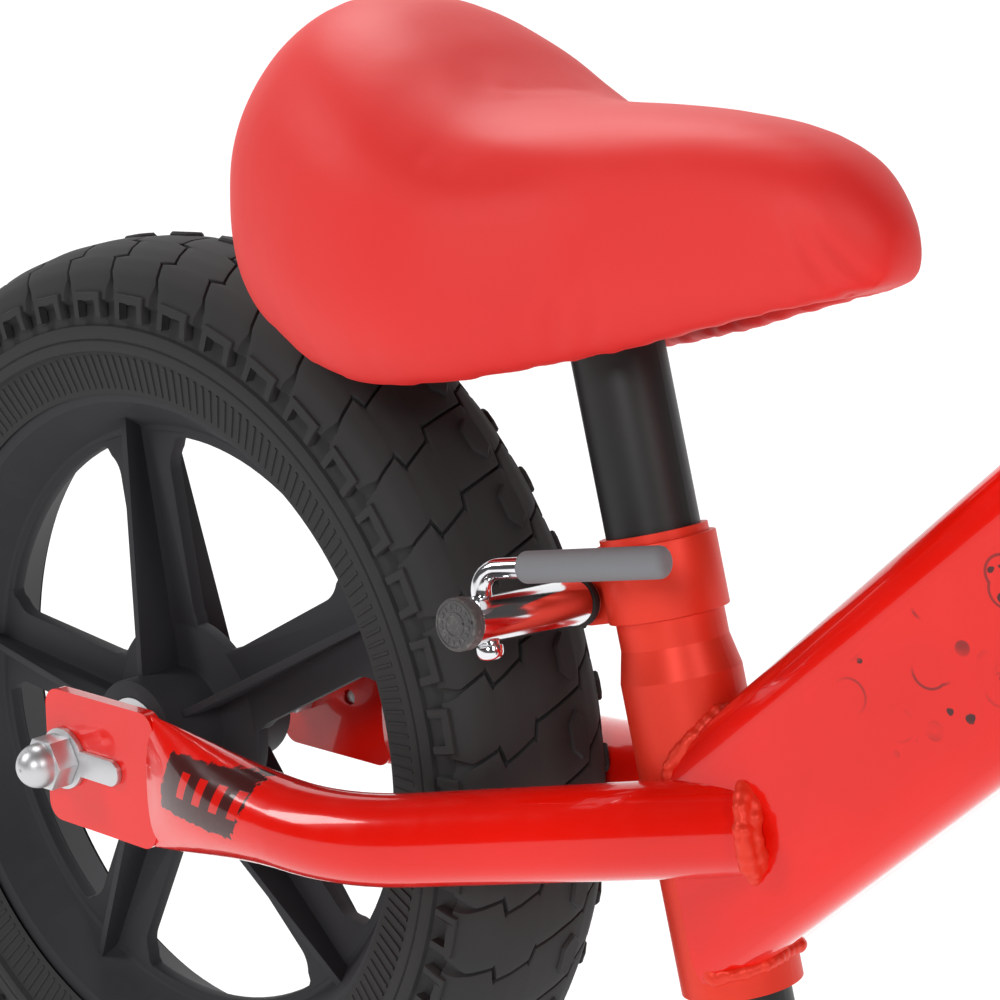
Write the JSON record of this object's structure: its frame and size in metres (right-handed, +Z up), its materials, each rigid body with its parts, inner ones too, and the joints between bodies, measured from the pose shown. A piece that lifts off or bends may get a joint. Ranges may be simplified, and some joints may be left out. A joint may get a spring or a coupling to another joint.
{
  "type": "balance bike",
  "caption": "Child's balance bike: steel frame with one deep main tube, foam-tyred plastic wheels, padded saddle on a quick-release post, and a T handlebar.",
  "frame": {"origin": "on the floor, midway between the axles, on the centre plane", "axes": "+X forward, +Y to the rider's left, +Z up"},
  "size_m": [0.814, 0.3848, 0.5975],
  "materials": {
    "frame_paint": "gloss, bright red",
    "black_enamel": "satin black",
    "zinc_plate": "bright zinc",
    "wheel_plastic": "fine matte grain",
    "foam_tyre": "smooth foam skin",
    "black_rubber": "matte",
    "chrome_plate": "mirror",
    "grey_plastic": "satin grey",
    "black_plastic": "matte",
    "saddle_vinyl": "grained gloss red"
  },
  "bodies": {
    "frame": {"seat_tube": "frame_paint", "main_tube": "frame_paint", "head_tube": "frame_paint", "right_chainstay": "frame_paint", "left_chainstay": "frame_paint", "upper_headset_cup": "black_enamel", "lower_headset_cup": "black_enamel", "seat_clamp_band": "frame_paint", "clamp_bolt": "zinc_plate", "clamp_nut": "zinc_plate", "clamp_washers": "zinc_plate", "barrel_ring": "black_rubber", "lever_barrel": "chrome_plate", "lever_end_cap": "grey_plastic", "rear_axle": "zinc_plate", "rear_axle_spacers": "zinc_plate", "rear_lock_nuts": "zinc_plate", "rear_cap_nuts": "zinc_plate", "rear_tab_washers": "zinc_plate"},
    "lever": {"lever_rod": "chrome_plate", "lever_sleeve": "grey_plastic"},
    "saddle": {"seat_post": "black_enamel", "seat_post_plug": "black_plastic", "saddle_pad": "saddle_vinyl", "saddle_base": "black_plastic", "saddle_rails": "zinc_plate", "saddle_clamp": "black_enamel", "saddle_clamp_discs": "zinc_plate", "saddle_clamp_bolt": "zinc_plate"},
    "rear_wheel": {"rear_rim": "wheel_plastic", "rear_spokes": "wheel_plastic", "rear_hub": "wheel_plastic", "rear_tyre": "foam_tyre", "rear_bearings": "zinc_plate", "rear_hub_spacer": "zinc_plate"},
    "fork": {"fork_steerer": "black_enamel", "fork_crown": "frame_paint", "right_fork_blade": "frame_paint", "left_fork_blade": "frame_paint", "crown_race": "black_enamel", "headset_locknut": "black_enamel", "bar_clamp_collar": "black_enamel", "bar_clamp_bolt": "zinc_plate", "front_axle": "zinc_plate", "front_axle_spacers": "zinc_plate", "front_lock_nuts": "zinc_plate", "front_cap_nuts": "zinc_plate", "front_tab_washers": "zinc_plate"},
    "front_wheel": {"front_rim": "wheel_plastic", "front_spokes": "wheel_plastic", "front_hub": "wheel_plastic", "front_tyre": "foam_tyre", "front_bearings": "zinc_plate", "front_hub_spacer": "zinc_plate"},
    "handlebar": {"bar_post": "black_enamel", "handlebar": "black_enamel", "left_grip": "black_rubber", "right_grip": "black_rubber"}
  },
  "joints": [
    {"name": "rear_wheel_spin", "type": "hinge", "parent": "frame", "child": "rear_wheel", "pos_m": [-0.27, 0, 0.137], "axis": [0, 1, 0], "continuous": true},
    {"name": "steering", "type": "hinge", "parent": "frame", "child": "fork", "pos_m": [0.145, 0, 0.36408], "axis": [-0.342, 0, 0.9397], "range_deg": [-90, 90]},
    {"name": "front_wheel_spin", "type": "hinge", "parent": "fork", "child": "front_wheel", "pos_m": [0.27, 0, 0.137], "axis": [0, 1, 0], "continuous": true},
    {"name": "seat_height", "type": "slide", "parent": "frame", "child": "saddle", "axis": [-0.2504, 0, 0.9681], "range_m": [0, 0.09]},
    {"name": "bar_height", "type": "slide", "parent": "fork", "child": "handlebar", "axis": [-0.342, 0, 0.9397], "range_m": [-0.03, 0.05]},
    {"name": "lever_swing", "type": "hinge", "parent": "frame", "child": "lever", "pos_m": [-0.12427, -0.0419, 0.19833], "axis": [0.2498, -0.0698, -0.9658], "range_deg": [0, 170]}
  ]
}
